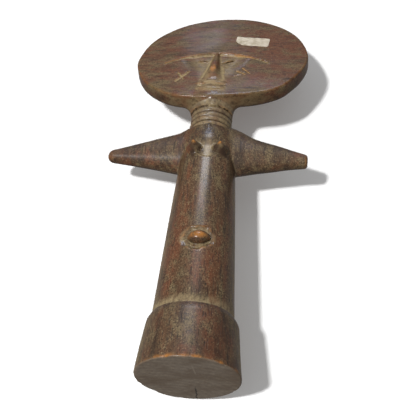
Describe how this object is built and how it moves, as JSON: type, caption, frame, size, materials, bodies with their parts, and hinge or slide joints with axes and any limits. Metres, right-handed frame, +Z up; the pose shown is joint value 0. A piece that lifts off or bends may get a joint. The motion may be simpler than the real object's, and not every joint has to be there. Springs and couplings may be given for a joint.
{
  "type": "fertility doll",
  "caption": "Carved wooden standing doll: flat round leaning head, ringed neck, short tapered arms, slim round torso on a drum foot, small paper label on the forehead.",
  "frame": {"origin": "centre of the foot's flat underside", "axes": "+Z up through the foot, torso and neck; the face looks towards -Y; +X is the doll's own left"},
  "size_m": [0.137, 0.063, 0.3096],
  "materials": {
    "wood": "dark hand-rubbed patina, satin",
    "label_paper": "aged uncoated paper"
  },
  "bodies": {
    "root": {"foot": "wood", "torso": "wood", "neck": "wood", "head": "wood", "arm_left": "wood", "arm_right": "wood", "breast_left": "wood", "breast_right": "wood", "navel": "wood", "brow_and_nose": "wood", "eye_left": "wood", "eye_right": "wood", "lips": "wood", "label": "label_paper"}
  },
  "joints": []
}
